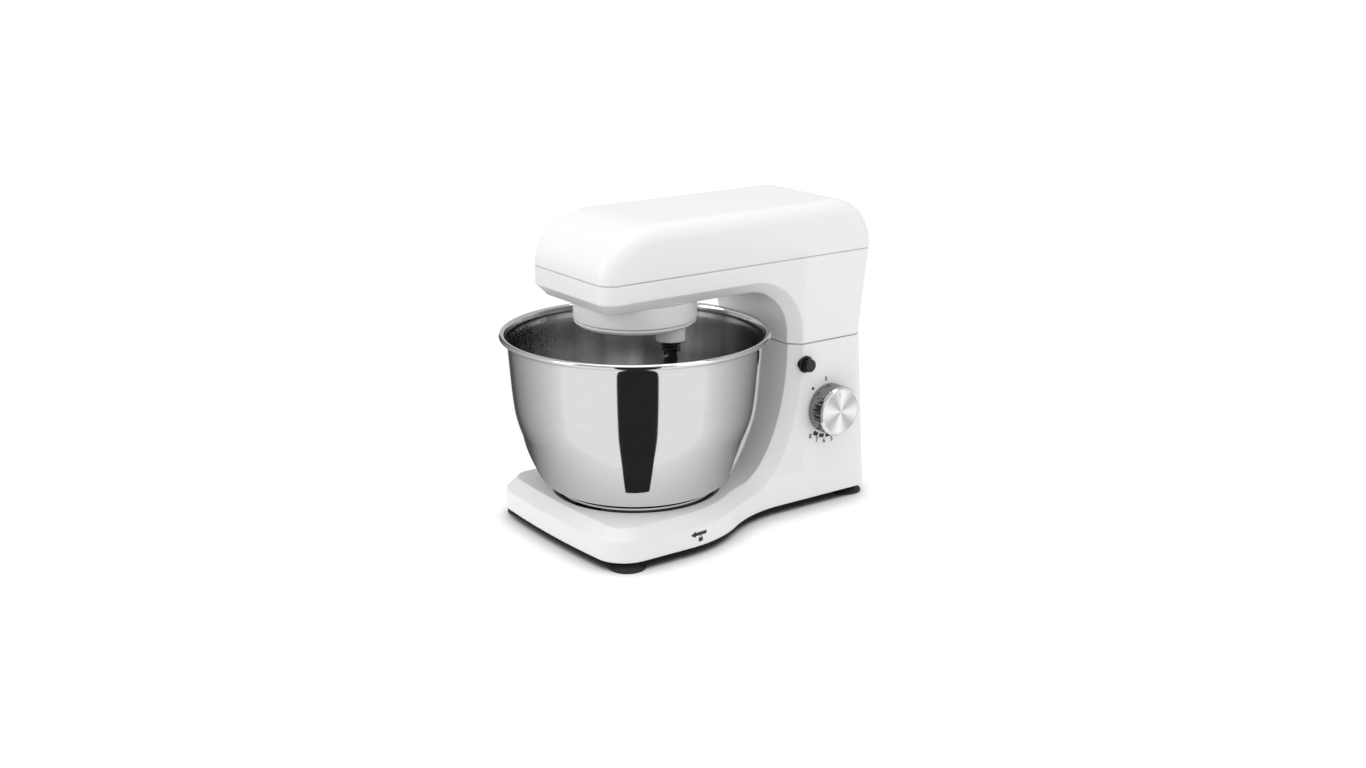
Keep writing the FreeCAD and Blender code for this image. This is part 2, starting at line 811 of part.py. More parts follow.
foot = turned("foot", [
    ("0", "foot_hollow"),
    ("foot_radius - foot_rim", "0"),
    ("foot_radius", "0"),
    ("foot_radius", "foot_rim_tall"),
    (neck_radius, "base_bottom_z + plate_lift - foot_neck_tall"),
    (neck_radius, "base_bottom_z + plate_lift"),
    ("foot_stem_radius", "base_bottom_z + plate_lift"),
    ("foot_stem_radius", stem_top),
    ("0", stem_top),
], ORIGIN)
keep("suction_feet", group("foot_set", foot, foot_spots))

# Bowl seat: a dark ring with a channel that the lugs of the bowl foot turn in.
seat = turned("seat", [
    ("seat_lip_radius + seat_lip", "seat_floor_z"),
    ("seat_radius - seat_clearance", "seat_floor_z"),
    ("seat_radius - seat_clearance", "seat_top_z"),
    ("seat_lip_radius", "seat_top_z"),
    ("seat_lip_radius", "seat_lip_z"),
    ("seat_lip_radius + seat_lip", "seat_lip_z"),
])
doc.recompute()
seat_shape = seat.Shape.copy()
entry_half = value("lug_entry_half")
entry_reach = value("lug_reach + lug_entry_gap")
for i in range(LUGS):
    entry = upright_box(0, entry_reach, -entry_half, entry_half, seat_z, platform_z)
    entry.rotate(Vector(), UP, 360 / LUGS * i + value("lug_angle + unlock_turn"))
    seat_shape = seat_shape.cut(entry.translated(axis_at))
keep("bowl_seat_ring", shaped("seat_cut", seat_shape))

# Bowl of drawn sheet with a rolled rim, and the foot ring welded under it.
profile = [
    ("bowl_floor_radius", "bowl_floor_z"),
    ("bowl_floor_radius + heel_out", "heel_z"),
    ("rim_radius - belly_inset", "belly_z"),
    ("rim_radius - waist_inset", "waist_z"),
    ("rim_radius - side_inset", "side_z"),
    ("rim_radius - chest_inset", "chest_z"),
    ("rim_radius - collar_inset", "collar_z"),
    ("rim_radius - mouth_inset", "rim_top_z - rim_bead_radius"),
]
outer_spots = [Vector(value(across), 0, value(up)) for across, up in profile]
skin = Part.BSplineCurve()
skin.interpolate(outer_spots)
inner_spots = []
for spot in outer_spots:
    way = skin.tangent(skin.parameter(spot))[0]
    inner_spots.append(spot + Vector(-way.z, 0, way.x) * value("bowl_sheet"))
inner_spots[0] = outer_spots[0] + Vector(0, 0, value("bowl_sheet"))
lining = Part.BSplineCurve()
lining.interpolate(inner_spots)
centre_low = Vector(0, 0, outer_spots[0].z)
centre_high = Vector(0, 0, inner_spots[0].z)
bowl_edges = [
    skin.toShape(),
    straight(outer_spots[-1], inner_spots[-1]),
    lining.toShape(),
    straight(inner_spots[0], centre_high),
    straight(centre_high, centre_low),
    straight(centre_low, outer_spots[0]),
]
bowl_face = Part.Face(Part.Wire(Part.__sortEdges__(bowl_edges)))
bowl = bowl_face.revolve(Vector(), UP, 360)
bead = value("rim_bead_radius")
bead_at = Vector(0, 0, value("rim_top_z") - bead)
bowl = bowl.fuse(Part.makeTorus(value("rim_radius") - bead, bead, bead_at))
bowl.translate(axis_at)
keep("mixing_bowl", shaped("bowl", bowl.removeSplitter()))
foot_wall = ring("bowl_foot_wall", "bowl_foot_radius - bowl_foot_sheet", "bowl_foot_radius",
                 "seat_floor_z + bowl_foot_lift", "bowl_floor_z")
foot_flange = ring("bowl_foot_top", "bowl_foot_radius - bowl_foot_flange", "bowl_foot_radius",
                   "bowl_floor_z - bowl_foot_sheet", "bowl_floor_z")
doc.recompute()
foot_shape = foot_wall.Shape.fuse(foot_flange.Shape)
lug_tall = value("lug_thick")
lug_half = value("lug_half")
lug_root = Part.makeCylinder(value("bowl_foot_radius - bowl_foot_sheet / 2"), lug_tall)
lug_ring = Part.makeCylinder(value("lug_reach"), lug_tall).cut(lug_root)
for i in range(LUGS):
    lug = lug_ring.common(upright_box(0, FAR, -lug_half, lug_half, 0, lug_tall))
    lug.rotate(Vector(), UP, 360 / LUGS * i + value("lug_angle"))
    foot_shape = foot_shape.fuse(lug.translated(axis_at + Vector(0, 0, seat_z + value("lug_lift"))))
foot_shape = foot_shape.cut(bowl)
keep("bowl_foot", shaped("bowl_foot_ring", foot_shape.removeSplitter()))

# Hinge pin through both knuckle pairs.
hinge_at = ("0 - knuckle_outer_x", HINGE_Y, HINGE_Z)
keep("hinge_pin", rod("pin", "pin_radius", "2 * knuckle_outer_x", hinge_at, "X"))

# Planetary drum under the head with its ring gear.
drum_hole = "frame_boss_radius + drum_hole_gap"
drum_inside = "drum_radius - drum_wall"
drum = turned("drum", [
    (drum_hole, "underside_z - drum_wall"),
    (drum_inside, "underside_z - drum_wall"),
    (drum_inside, "drum_bottom_z"),
    ("drum_radius", "drum_bottom_z"),
    ("drum_radius", "underside_z"),
    (drum_hole, "underside_z"),
])
keep("planetary_drum", drum)
ring_gear = gear("ring", "ring_teeth", "ring_module", drum_inside, "drum_bottom_z + ring_lift",
                 "ring_tall", 0, reach("0"), 0, True)
keep("ring_gear", ring_gear)

# Planet disc on the main shaft, with the boss that carries the spindle off centre.
offset = value("spindle_offset")
angle = math.radians(value("spindle_angle"))
spin_x = offset * math.cos(angle)
spin_y = reach("0") + offset * math.sin(angle)
spindle = (str(round(spin_x, 6)), str(round(spin_y, 6)), "0")
disc_edge = "drum_radius - disc_side_gap"
disc_top = "drum_bottom_z - disc_gap"
hub_top = "drum_bottom_z + disc_hub_tall"
disc = turned("disc", [
    ("main_shaft_radius", "disc_bottom_z"),
    (disc_edge + " - disc_bevel", "disc_bottom_z"),
    (disc_edge, "disc_bottom_z + disc_bevel_tall"),
    (disc_edge, disc_top),
    ("disc_hub_radius", disc_top),
    ("disc_hub_radius", hub_top),
    ("main_shaft_radius", hub_top),
])
spindle_bore = "spindle_radius + running_fit"
boss = ring("boss", spindle_bore, "boss_radius", "boss_bottom_z", "disc_bottom_z + boss_sink", spindle)
hole = rod("boss_hole", spindle_bore, "drum_bottom_z - boss_bottom_z",
           spindle[:2] + ("boss_bottom_z",))
keep("planet_disc", cut("disc_cut", fused("disc_boss", [disc, boss]), [hole]))
main_shaft = rod("shaft", "main_shaft_radius", "gear_z + gear_thick + main_shaft_stand - disc_bottom_z",
                 ("0", "bowl_axis_y", "disc_bottom_z"))
keep("main_shaft", main_shaft)
main_gear = gear("main", "main_teeth", "main_module", "main_shaft_radius", "gear_z", "gear_thick",
                 0, reach("0"))
keep("main_gear", main_gear)

# Spindle: stepped shaft, planet pinion, cross pin and the coil spring round the shaft.
spindle_top = "drum_bottom_z + spindle_stand"
shaft = turned("spindle_turned", [
    ("0", "spindle_end_z"),
    ("spindle_radius - spindle_bevel", "spindle_end_z"),
    ("spindle_radius", "spindle_end_z + spindle_bevel"),
    ("spindle_radius", spindle_top),
    ("0", spindle_top),
], spindle)
doc.recompute()
pin_swing = math.radians(value("cross_pin_angle"))
pin_way = Vector(-math.sin(pin_swing), math.cos(pin_swing), 0)
pin_long = value("cross_pin_length")
pin_start = Vector(spin_x, spin_y, value("cross_pin_z")) - pin_way * (pin_long / 2)
cross = Part.makeCylinder(value("cross_pin_radius"), pin_long, pin_start, pin_way)
keep("spindle_shaft", shaped("spindle_drilled", shaft.Shape.cut(cross)))
keep("cross_pin", shaped("cross", cross))
# the pinion is turned so that its gaps meet the teeth of the ring gear
half_tooth = value("180 / planet_teeth")
planet_phase = value("spindle_angle * (1 - ring_teeth / planet_teeth)") + half_tooth
pinion = gear("pinion", "planet_teeth", "ring_module", "spindle_radius", "drum_bottom_z + planet_lift",
              "planet_tall", spin_x, spin_y, planet_phase)
keep("planet_pinion", pinion)
wire_radius = value("wire_radius")
coil_radius = value("spindle_radius + coil_clearance + wire_radius")
washer_low = "boss_bottom_z - washer_gap - washer_thick"
coil_low = value("cross_pin_z + cross_pin_radius + coil_low_gap + wire_radius")
coil_high = value(washer_low + " - coil_high_gap - wire_radius")
turns = value("coil_turns")


def coil_point(turned_by):
    """Place and direction on the coil after so many turns."""
    swing = 2 * math.pi * turned_by
    rise = (coil_high - coil_low) / turns
    across = Vector(math.cos(swing), math.sin(swing), 0)
    along = Vector(-math.sin(swing), math.cos(swing), 0)
    way = along * coil_radius + UP * (rise / (2 * math.pi))
    return across * coil_radius + UP * (rise * turned_by), way.normalize()


def arc_leaving(start, way, end):
    """Arc that leaves the start along the given direction and runs to the end."""
    chord = end - start
    across = way - chord * (way.dot(chord) / chord.dot(chord))
    bend = math.acos(way.dot(chord) / chord.Length)
    peak = (start + end) * 0.5 + across.normalize() * (chord.Length / 2 * math.tan(bend / 2))
    return Part.Arc(start, peak, end).toShape()


# each quarter turn of the coil is two arcs that share a direction where they meet
coil = []
for i in range(int(turns * 4)):
    first, leave = coil_point(i / 4)
    last, arrive = coil_point((i + 1) / 4)
    span = last - first
    both = span.dot(leave + arrive)
    square = 2 * (1 - leave.dot(arrive))
    pull = (math.sqrt(both * both + square * span.dot(span)) - both) / square
    joint = (first + leave * pull + last - arrive * pull) * 0.5
    coil += [arc_leaving(first, leave, joint), arc_leaving(last, arrive * -1, joint)]
start, way = coil_point(0)
section = Part.Wire(Part.makeCircle(wire_radius, start, way))
spring = Part.Wire(Part.__sortEdges__(coil)).makePipeShell([section], True, False)
spring.translate(Vector(spin_x, spin_y, coil_low))
SAMPLES = 400
samples = [coil_point(turns * i / SAMPLES)[0] for i in range(SAMPLES + 1)]
half_turn = int(SAMPLES / turns / 2)
apart = []
for i, spot in enumerate(samples):
    apart += [(other - spot).Length for other in samples[i + half_turn:]]
print("least gap of the spring to itself", round(min(apart) - 2 * wire_radius, 3))
keep("spindle_spring", shaped("spring", spring))
washer = ring("washer", "spindle_radius", "spindle_radius + washer_width", washer_low,
              "boss_bottom_z - washer_gap", spindle)
keep("spring_washer", washer)

# Gearbox frame in the head with the counter shaft, pulley and belt.
COUNTER_REACH = "main_module * (main_teeth + counter_teeth) / 2 + centre_slack"
counter = ("0", "bowl_axis_y + " + COUNTER_REACH, "0")
counter_y = reach(COUNTER_REACH)
frame_plate = block("frame_plate",
                    ("0 - frame_half", "bowl_axis_y + frame_front_reach", "frame_z"),
                    ("frame_half", "bowl_axis_y + frame_rear_reach", "frame_z + frame_thick"))
frame_boss = rod("frame_boss", "frame_boss_radius", "frame_z + frame_thick - underside_z",
                 ("0", "bowl_axis_y", "underside_z + frame_boss_lift"))
counter_boss = rod("counter_boss", "counter_boss_radius", "counter_boss_tall", counter[:2] + ("frame_z",))
legs = []
for x in ("0 - frame_leg_x", "frame_leg_x"):
    for leg_reach in ("frame_leg_front_reach", "frame_leg_rear_reach"):
        at = (x, "bowl_axis_y + " + leg_reach, "underside_z + wall")
        legs.append(rod("frame_leg", "frame_leg_radius", "frame_z - underside_z - wall", at))
bore_low = ("underside_z",)
bore_long = "gear_z - underside_z"
main_bore = rod("main_bore", "main_shaft_radius + running_fit", bore_long, BOWL_AXIS[:2] + bore_low)
counter_bore = rod("counter_bore", "counter_shaft_radius + running_fit", bore_long, counter[:2] + bore_low)
frame_solid = fused("frame_solid", [frame_plate, frame_boss, counter_boss] + legs)
keep("gearbox_frame", cut("frame", frame_solid, [main_bore, counter_bore]))
counter_shaft = rod("counter_rod", "counter_shaft_radius", "pulley_z + pulley_thick - frame_z",
                    counter[:2] + ("frame_z",))
keep("counter_shaft", counter_shaft)
counter_phase = 90 + value("180 / counter_teeth")
counter_pinion = gear("counter_gear", "counter_teeth", "main_module", "counter_shaft_radius",
                      "gear_z", "gear_thick", 0, counter_y, counter_phase)
keep("counter_pinion", counter_pinion)
pulley_top = "pulley_z + pulley_thick"
pulley_floor = "pulley_z + pulley_web"
drive_pulley = turned("big_pulley", [
    ("counter_shaft_radius", "pulley_z"),
    ("pulley_radius", "pulley_z"),
    ("pulley_radius", pulley_top),
    ("pulley_radius - pulley_rim", pulley_top),
    ("pulley_radius - pulley_rim", pulley_floor),
    ("pulley_hub_radius", pulley_floor),
    ("pulley_hub_radius", pulley_top),
    ("counter_shaft_radius", pulley_top),
], counter)
keep("drive_pulley", drive_pulley)
motor = ("0", "bowl_axis_y + motor_reach", "0")
motor_y = reach("motor_reach")


def belt_area(extra):
    """Outline of the belt loop round both pulleys, spread by the extra."""
    big = value("pulley_radius") + extra
    small = value("motor_pulley_radius") + extra
    lean = math.asin((big - small) / (motor_y - counter_y))
    near = Vector(big * math.cos(lean), counter_y + big * math.sin(lean), 0)
    far = Vector(small * math.cos(lean), motor_y + small * math.sin(lean), 0)
    left_near = Vector(-near.x, near.y, 0)
    left_far = Vector(-far.x, far.y, 0)
    edges = [
        straight(near, far),
        Part.Arc(far, Vector(0, motor_y + small, 0), left_far).toShape(),
        straight(left_far, left_near),
        Part.Arc(left_near, Vector(0, counter_y - big, 0), near).toShape(),
    ]
    return Part.Face(Part.Wire(edges))


belt_face = belt_area(value("belt_gap + belt_thick")).cut(belt_area(value("belt_gap")))
belt = belt_face.extrude(Vector(0, 0, value("pulley_thick - 2 * belt_inset")))
keep("drive_belt", shaped("belt", belt.translated(Vector(0, 0, value("pulley_z + belt_inset")))))

# Motor standing in the rear of the head on four posts.
motor_front = "bowl_axis_y + motor_front_reach"
plate_half = "head_half - wall - motor_plate_gap"
plate_block = block("motor_plate_block",
                    ("0 - (" + plate_half + ")", motor_front, "motor_plate_z"),
                    (plate_half, "bowl_axis_y + motor_plate_rear_reach", "motor_plate_z + motor_sheet"))
end_block = block("end_plate_block",
                  ("0 - motor_end_half", motor_front, "motor_end_z"),
                  ("motor_end_half", "bowl_axis_y + motor_end_rear_reach", "motor_end_z + motor_sheet"))
shaft_bore = "rotor_shaft_radius + running_fit"
plate_bore = rod("motor_bore", shaft_bore, "motor_sheet", motor[:2] + ("motor_plate_z",))
end_bore = rod("end_bore", shaft_bore, "motor_sheet", motor[:2] + ("motor_end_z",))
keep("motor_plate", cut("motor_plate_cut", plate_block, [plate_bore]))
keep("motor_end_plate", cut("end_plate_cut", end_block, [end_bore]))
post_levels = [
    (post_seat_z + value("post_seat_tall"), value("motor_end_z")),
    (value("motor_end_z + motor_sheet"), value("motor_plate_z")),
]
posts = []
for x, y in post_spots:
    for low, high in post_levels:
        posts.append(Part.makeCylinder(value("post_radius"), high - low, Vector(x, y, low)))
keep("motor_posts", shaped("post_set", Part.makeCompound(posts)))
stator_top = "stator_low_z + stator_tall"
stator = block("stator_block",
               ("0 - stator_half", "bowl_axis_y + motor_reach - stator_half", "stator_low_z"),
               ("stator_half", "bowl_axis_y + motor_reach + stator_half", stator_top))
stator_bore = rod("stator_bore", "rotor_radius + air_gap", "stator_tall", motor[:2] + ("stator_low_z",))
keep("motor_stator", cut("stator", stator, [stator_bore]))
winding_low = ring("winding_low", "winding_inner", "winding_outer", "stator_low_z - winding_tall",
                   "stator_low_z", motor)
winding_high = ring("winding_high", "winding_inner", "winding_outer", stator_top, "motor_plate_z", motor)
doc.recompute()
keep("motor_windings", shaped("windings", Part.makeCompound([winding_low.Shape, winding_high.Shape])))
brush_half = value("brush_half")
brush_near = value("commutator_radius + brush_gap")
brush_far = brush_near + value("brush_long")
brush_low = value(stator_top + " + brush_lift")
brush = upright_box(brush_near, brush_far, motor_y - brush_half, motor_y + brush_half,
                    brush_low, value("motor_plate_z"))
brush_pair = Part.makeCompound([brush, brush.mirror(Vector(), Vector(1, 0, 0))])
keep("carbon_brushes", shaped("brush_pair", brush_pair))
rotor_shaft = rod("rotor_rod", "rotor_shaft_radius", "pulley_z + pulley_thick - motor_end_z",
                  motor[:2] + ("motor_end_z",))
keep("rotor_shaft", rotor_shaft)
keep("rotor_core", ring("core", "rotor_shaft_radius", "rotor_radius", "stator_low_z", stator_top, motor))
commutator = ring("comm", "rotor_shaft_radius", "commutator_radius", stator_top,
                  "motor_plate_z - commutator_gap", motor)
keep("commutator", commutator)
fan_low = "motor_end_z + motor_sheet + fan_gap"
cooling_fan = ring("fan", "rotor_shaft_radius", "fan_radius", fan_low, fan_low + " + fan_thick", motor)
keep("cooling_fan", cooling_fan)
motor_pulley = ring("small_pulley", "rotor_shaft_radius", "motor_pulley_radius", "pulley_z",
                    pulley_top, motor)
keep("motor_pulley", motor_pulley)

# Speed dial on its shaft, the switch behind it and the control board.
dial = ("neck_half", "bowl_axis_y + dial_reach", "dial_z")
face_back = "dial_depth - face_sink - face_thick"
speed_dial = turned("dial", [
    ("dial_shaft_radius", "dial_gap"),
    ("dial_radius", "dial_gap"),
    ("dial_radius", "dial_depth - dial_bevel"),
    ("dial_radius - dial_bevel", "dial_depth"),
    ("dial_radius - dial_rim", "dial_depth"),
    ("dial_radius - dial_rim", face_back),
    ("dial_shaft_radius", face_back),
], dial, "X")
keep("speed_dial", speed_dial)
dial_face = ring("face", "0", "dial_radius - dial_rim", face_back, "dial_depth - face_sink", dial, "X")
keep("dial_face", dial_face)
dial_shaft = rod("dial_rod", "dial_shaft_radius", face_back + " + dial_shaft_inside",
                 ("neck_half - dial_shaft_inside",) + dial[1:], "X")
keep("dial_shaft", dial_shaft)
speed_switch = ring("switch", "dial_shaft_radius + running_fit", "switch_radius", "0 - switch_deep",
                    "0 - wall", dial, "X")
keep("speed_switch", speed_switch)
board_back = "neck_half - board_inside - board_thick"
board = block("board",
              (board_back, "bowl_axis_y + board_front_reach", "board_low_z"),
              ("neck_half - board_inside", "bowl_axis_y + board_rear_reach", "board_high_z"))
keep("control_board", board)
board_post = rod("board_post", "board_post_radius", "board_inside - wall",
                 ("neck_half - board_inside", "0", "0"), "X")
board_post_spots = []
for y in (reach("board_front_reach + board_post_inset"), reach("board_rear_reach - board_post_inset")):
    for z in (value("board_low_z + board_post_inset"), value("board_high_z - board_post_inset")):
        board_post_spots.append((0, y, z))
keep("board_posts", group("board_post_set", board_post, board_post_spots))


def on_board(label, name):
    """Block standing on the inner face of the board, sized by the cells of that name."""
    front = "bowl_axis_y + %s_front_reach" % name
    low = (board_back + " - %s_deep" % name, front, "%s_low_z" % name)
    high = (board_back, front + " + %s_long" % name, "%s_low_z + %s_tall" % (name, name))
    keep(label, block(name, low, high))


on_board("heat_sink", "sink")
on_board("line_capacitor", "capacitor")

# Release button, its bezel, and the latch lever that it tips.
button = ("neck_half", "bowl_axis_y + button_reach", "button_z")
bezel = turned("bezel", [
    ("button_radius + bezel_gap", "0"),
    ("bezel_radius", "0"),
    ("bezel_radius", "bezel_thick - bezel_bevel"),
    ("bezel_radius - bezel_bevel", "bezel_thick"),
    ("button_radius + bezel_gap", "bezel_thick"),
], button, "X")
keep("button_bezel", bezel)
rod_end = "latch_pivot_x + lever_half + button_latch_gap - neck_half"
stem_end = "0 - wall - button_stem_inside"
stem_radius = "button_radius - button_waist"
release_button = turned("button", [
    ("0", rod_end),
    ("button_rod_radius", rod_end),
    ("button_rod_radius", stem_end),
    (stem_radius, stem_end),
    (stem_radius, "button_out - button_cap - button_flare"),
    ("button_radius", "button_out - button_cap"),
    ("button_radius", "button_out - button_bevel"),
    ("button_radius - button_bevel", "button_out"),
    ("0", "button_out"),
], button, "X")
keep("release_button", release_button)
hook_top = "column_split_z + hook_rise - latch_pivot_z"
lever = padded("lever", [
    ("0 - lever_half", "0 - lever_tail"),
    ("lever_half", "0 - lever_tail"),
    ("lever_half", hook_top + " - hook_deep"),
    ("hook_out", hook_top + " - hook_deep"),
    ("lever_half", hook_top),
    ("0 - lever_half", hook_top),
], "lever_thick")
doc.recompute()
lever_shape = lever.Shape.copy()
lever_shape.rotate(Vector(), Vector(1, 0, 0), 90)
lever_shape.translate(Vector(pivot_x, latch_y + value("lever_thick") / 2, pivot_z))
ear_thick = value("ear_thick")
ear_half = value("ear_half")
ear_near = value("lever_thick / 2 + ear_gap")
ear_far = ear_near + ear_thick
pivot_at = Vector(pivot_x, latch_y - ear_far, pivot_z)
pivot_pin = value("latch_pin_radius")
lever_shape = lever_shape.cut(Part.makeCylinder(pivot_pin + slack, 2 * ear_far, pivot_at, Vector(0, 1, 0)))
keep("latch_lever", shaped("lever_drilled", lever_shape))
pivot_hole = Part.makeCylinder(pivot_pin, 2 * ear_far, pivot_at, Vector(0, 1, 0))
brackets = []
# the front ear stops short of the bevel that runs down the front of the column
front_ear = (latch_y - ear_far, side_x - wall - value("ear_bevel_gap"))
rear_ear = (latch_y + ear_near, side_x - wall)
for y, far_x in (front_ear, rear_ear):
    ear = upright_box(pivot_x - ear_half, far_x, y, y + ear_thick, pivot_z - ear_half, pivot_z + ear_half)
    brackets.append(ear.cut(pivot_hole))
keep("latch_bracket", shaped("bracket_pair", Part.makeCompound(brackets)))
pin_reach = "lever_thick / 2 + ear_gap + ear_thick"
pin_from = button[1] + " - (%s)" % pin_reach
latch_pin = rod("latch_rod", "latch_pin_radius", "2 * (%s)" % pin_reach,
                ("latch_pivot_x", pin_from, "latch_pivot_z"), "Y")
keep("latch_pin", latch_pin)
catch_low = "column_split_z + split_gap / 2 + wall"
catch_near = "latch_pivot_x + hook_out + catch_gap"
latch_catch = block("catch",
                    (catch_near, button[1] + " - catch_half", catch_low),
                    ("latch_pivot_x + catch_far", button[1] + " + catch_half", "column_split_z + catch_rise"))
keep("latch_catch", latch_catch)

# Cord inlet at the rear.
gland_at_rear = ("gland_x", "bowl_axis_y + base_rear_reach - gland_sink", "gland_z")
gland = turned("gland", [
    ("cord_radius", "0 - gland_inside"),
    ("cord_radius + gland_wall", "0 - gland_inside"),
    ("cord_radius + gland_wall", "0"),
    ("cord_radius + gland_flange", "0"),
    ("cord_radius + gland_flange", "gland_outside"),
    ("cord_radius", "gland_outside"),
], gland_at_rear, "Y")
keep("cord_gland", gland)

doc.recompute()
problems = [item.Label for item in doc.Objects if "Invalid" in item.State or "Error" in item.State]
for item in nodes:
    if item.Shape.isNull() or not item.Shape.isValid() or item.Shape.Volume < 1:
        problems.append(item.Label)
if problems:
    raise RuntimeError("pieces to mend: " + ", ".join(problems))
os.makedirs("parts", exist_ok=True)
for item in nodes:
    item.Shape.exportStep("parts/%s.step" % item.Label)
print(len(nodes), "nodes written")
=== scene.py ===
# %% [markdown]
# # A tilt-head stand mixer
# The engineered part arrives first and stays where it is. Everything built below is added around it:
# a smooth bowl, a fluted dial, a rubber button, a coil spring, printed marks, finishes and a studio.

# %% Load the engineered part
import json
import math

import bpy
from mathutils import Euler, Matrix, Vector


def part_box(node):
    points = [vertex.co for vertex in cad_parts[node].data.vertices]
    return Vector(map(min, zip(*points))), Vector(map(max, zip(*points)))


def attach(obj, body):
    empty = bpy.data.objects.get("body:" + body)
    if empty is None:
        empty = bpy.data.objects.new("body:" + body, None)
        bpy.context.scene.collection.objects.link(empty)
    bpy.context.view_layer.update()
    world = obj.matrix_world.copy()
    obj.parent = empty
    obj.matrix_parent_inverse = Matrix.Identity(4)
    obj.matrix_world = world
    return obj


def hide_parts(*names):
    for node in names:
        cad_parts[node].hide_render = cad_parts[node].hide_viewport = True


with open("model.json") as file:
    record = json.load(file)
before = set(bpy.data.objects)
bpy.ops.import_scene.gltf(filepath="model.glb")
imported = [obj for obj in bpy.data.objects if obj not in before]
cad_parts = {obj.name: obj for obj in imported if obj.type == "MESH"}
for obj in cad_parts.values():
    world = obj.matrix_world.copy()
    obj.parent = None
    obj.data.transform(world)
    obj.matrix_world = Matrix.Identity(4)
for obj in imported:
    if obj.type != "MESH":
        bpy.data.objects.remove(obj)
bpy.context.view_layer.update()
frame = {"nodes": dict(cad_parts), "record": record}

MM = 0.001
nodes = frame["nodes"]
bowl_low, bowl_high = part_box("mixing_bowl")
dial_low, dial_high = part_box("speed_dial")
button_low, button_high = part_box("release_button")
spring_low, spring_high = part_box("spindle_spring")
BOWL_X = (bowl_low.x + bowl_high.x) / 2
BOWL_Y = (bowl_low.y + bowl_high.y) / 2

# %% [markdown]
# ## Small helpers
# A turned shape starts as one circle. Each further ring is an extrusion that is lifted and then scaled,
# which is what a potter does with clay. The helper closes both ends and applies the placing at the end,
# so that every finished object sits at the origin without rotation.

# %% Helpers for modelling
def active():
    return bpy.context.active_object


def start():
    """Nothing selected, object mode, ready for the next primitive."""
    if bpy.context.mode != "OBJECT":
        bpy.ops.object.mode_set(mode="OBJECT")
    bpy.ops.object.select_all(action="DESELECT")


def settle(name, place=(0, 0, 0), turn=(0, 0, 0)):
    """Name the active object, put it in place and apply the move, with normals outward."""
    item = active()
    item.name = name
    item.rotation_euler = turn
    item.location = place
    bpy.ops.object.transform_apply(location=True, rotation=True, scale=True)
    bpy.ops.object.mode_set(mode="EDIT")
    bpy.ops.mesh.select_all(action="SELECT")
    bpy.ops.mesh.normals_make_consistent(inside=False)
    bpy.ops.object.mode_set(mode="OBJECT")
    return item


def turned(name, rings, segments, place, turn=(0, 0, 0)):
    """Ring-by-ring lathe: rings are (radius, height) in metres."""
    start()
    first_radius, first_height = rings[0]
    bpy.ops.mesh.primitive_circle_add(vertices=segments, radius=first_radius, fill_type="NGON",
                                      location=(0, 0, first_height))
    bpy.ops.object.transform_apply(location=True)
    bpy.ops.object.mode_set(mode="EDIT")
    bpy.ops.mesh.select_all(action="SELECT")
    radius, height = first_radius, first_height
    for next_radius, next_height in rings[1:]:
        bpy.ops.mesh.extrude_region_move(TRANSFORM_OT_translate={"value": (0, 0, next_height - height)})
        grow = next_radius / radius
        bpy.ops.transform.resize(value=(grow, grow, 1), center_override=(0, 0, next_height))
        radius, height = next_radius, next_height
    bpy.ops.object.mode_set(mode="OBJECT")
    item = settle(name, place, turn)
    bpy.ops.object.shade_smooth_by_angle(angle=math.radians(38))
    return item


def arc_rings(centre, radius, first, last, steps):
    """(radius, height) rings along a circular arc, angles in degrees from straight out."""
    rings = []
    for i in range(steps + 1):
        angle = math.radians(first + (last - first) * i / steps)
        rings.append((centre[0] + radius * math.cos(angle), centre[1] + radius * math.sin(angle)))
    return rings


def smooth_through(spots, steps):
    """Points along a smooth curve through the given (radius, height) spots."""
    ends = [spots[0]] + spots + [spots[-1]]
    path = []
    for a, b, c, d in zip(ends, ends[1:], ends[2:], ends[3:]):
        for i in range(steps):
            t = i / steps
            weights = ((-t + 2 * t**2 - t**3) / 2, (2 - 5 * t**2 + 3 * t**3) / 2,
                       (t + 4 * t**2 - 3 * t**3) / 2, (t**3 - t**2) / 2)
            path.append(tuple(sum(w * p[k] for w, p in zip(weights, (a, b, c, d))) for k in (0, 1)))
    return path + [spots[-1]]


# %% [markdown]
# ## The bowl
# A polished bowl shows every facet in its reflections, so it gets a fine lathe of its own. The outline goes
# up the outside, rolls over the bead of the rim and comes down the inside one sheet thickness away. Near the
# rim the inside stays almost upright, so that it mirrors the dark wall opposite and not the bright room.

# %% Build the bowl
RIM = bowl_high.x - BOWL_X
FLOOR_Z = bowl_low.z
SHEET = 0.6 * MM
BEAD = 2.4 * MM
MOUTH = bowl_high.z - 2 * BEAD
wall_spots = [
    (66 * MM, FLOOR_Z),
    (81.2 * MM, 45 * MM),
    (RIM - 28.5 * MM, 58 * MM),
    (RIM - 19 * MM, 81 * MM),
    (RIM - 12.3 * MM, 103 * MM),
    (RIM - 9.3 * MM, 125 * MM),
    (RIM - 6.3 * MM, 165 * MM),
    (RIM - 4.4 * MM, MOUTH),
]
outside = smooth_through(wall_spots, 6)
upright = RIM - 5.5 * MM
inside = [(min(r, upright) - SHEET, z + (SHEET if z < 60 * MM else 0)) for r, z in reversed(outside)]
bead = arc_rings((RIM - BEAD, bowl_high.z - BEAD), BEAD, -140, 176, 20)
rings = [(1 * MM, FLOOR_Z)] + outside + bead + inside + [(1 * MM, FLOOR_Z + SHEET)]
bowl = turned("polished_bowl", rings, 160, (BOWL_X, BOWL_Y, 0))
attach(bowl, "bowl")
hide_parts("mixing_bowl")

